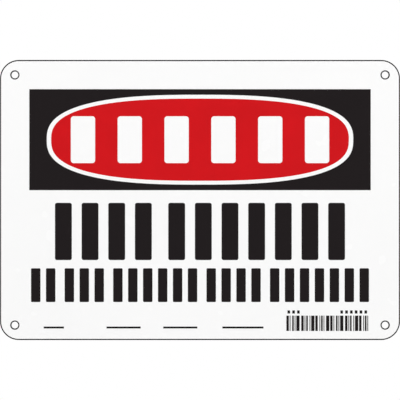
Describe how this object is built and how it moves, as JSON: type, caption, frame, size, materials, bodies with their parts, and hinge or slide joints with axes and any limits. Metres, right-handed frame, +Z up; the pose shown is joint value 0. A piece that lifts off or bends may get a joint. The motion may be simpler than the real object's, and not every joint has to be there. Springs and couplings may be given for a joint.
{
  "type": "safety sign",
  "caption": "Flat rectangular sheet-metal sign with rounded corners, corner screw holes and a printed face: an oval in a dark header above rows of plain blocks.",
  "frame": {"origin": "centre of the flat back face, where the sign lies against what it is fixed to", "axes": "+Z up, +X to the right for someone who faces the sign, +Y out of the back; the printed face looks along -Y"},
  "size_m": [0.254, 0.001, 0.1778],
  "materials": {
    "white_enamel_sheet": "white enamel face, bare mill-finish edges and back",
    "black_ink": "black screen ink, satin",
    "red_ink": "red screen ink, satin"
  },
  "bodies": {
    "root": {"sign_panel": "white_enamel_sheet", "header_print": "black_ink", "oval_print": "red_ink", "upper_line_print": "black_ink", "lower_line_print": "black_ink", "stripes_print": "black_ink", "small_print": "black_ink"}
  },
  "joints": []
}
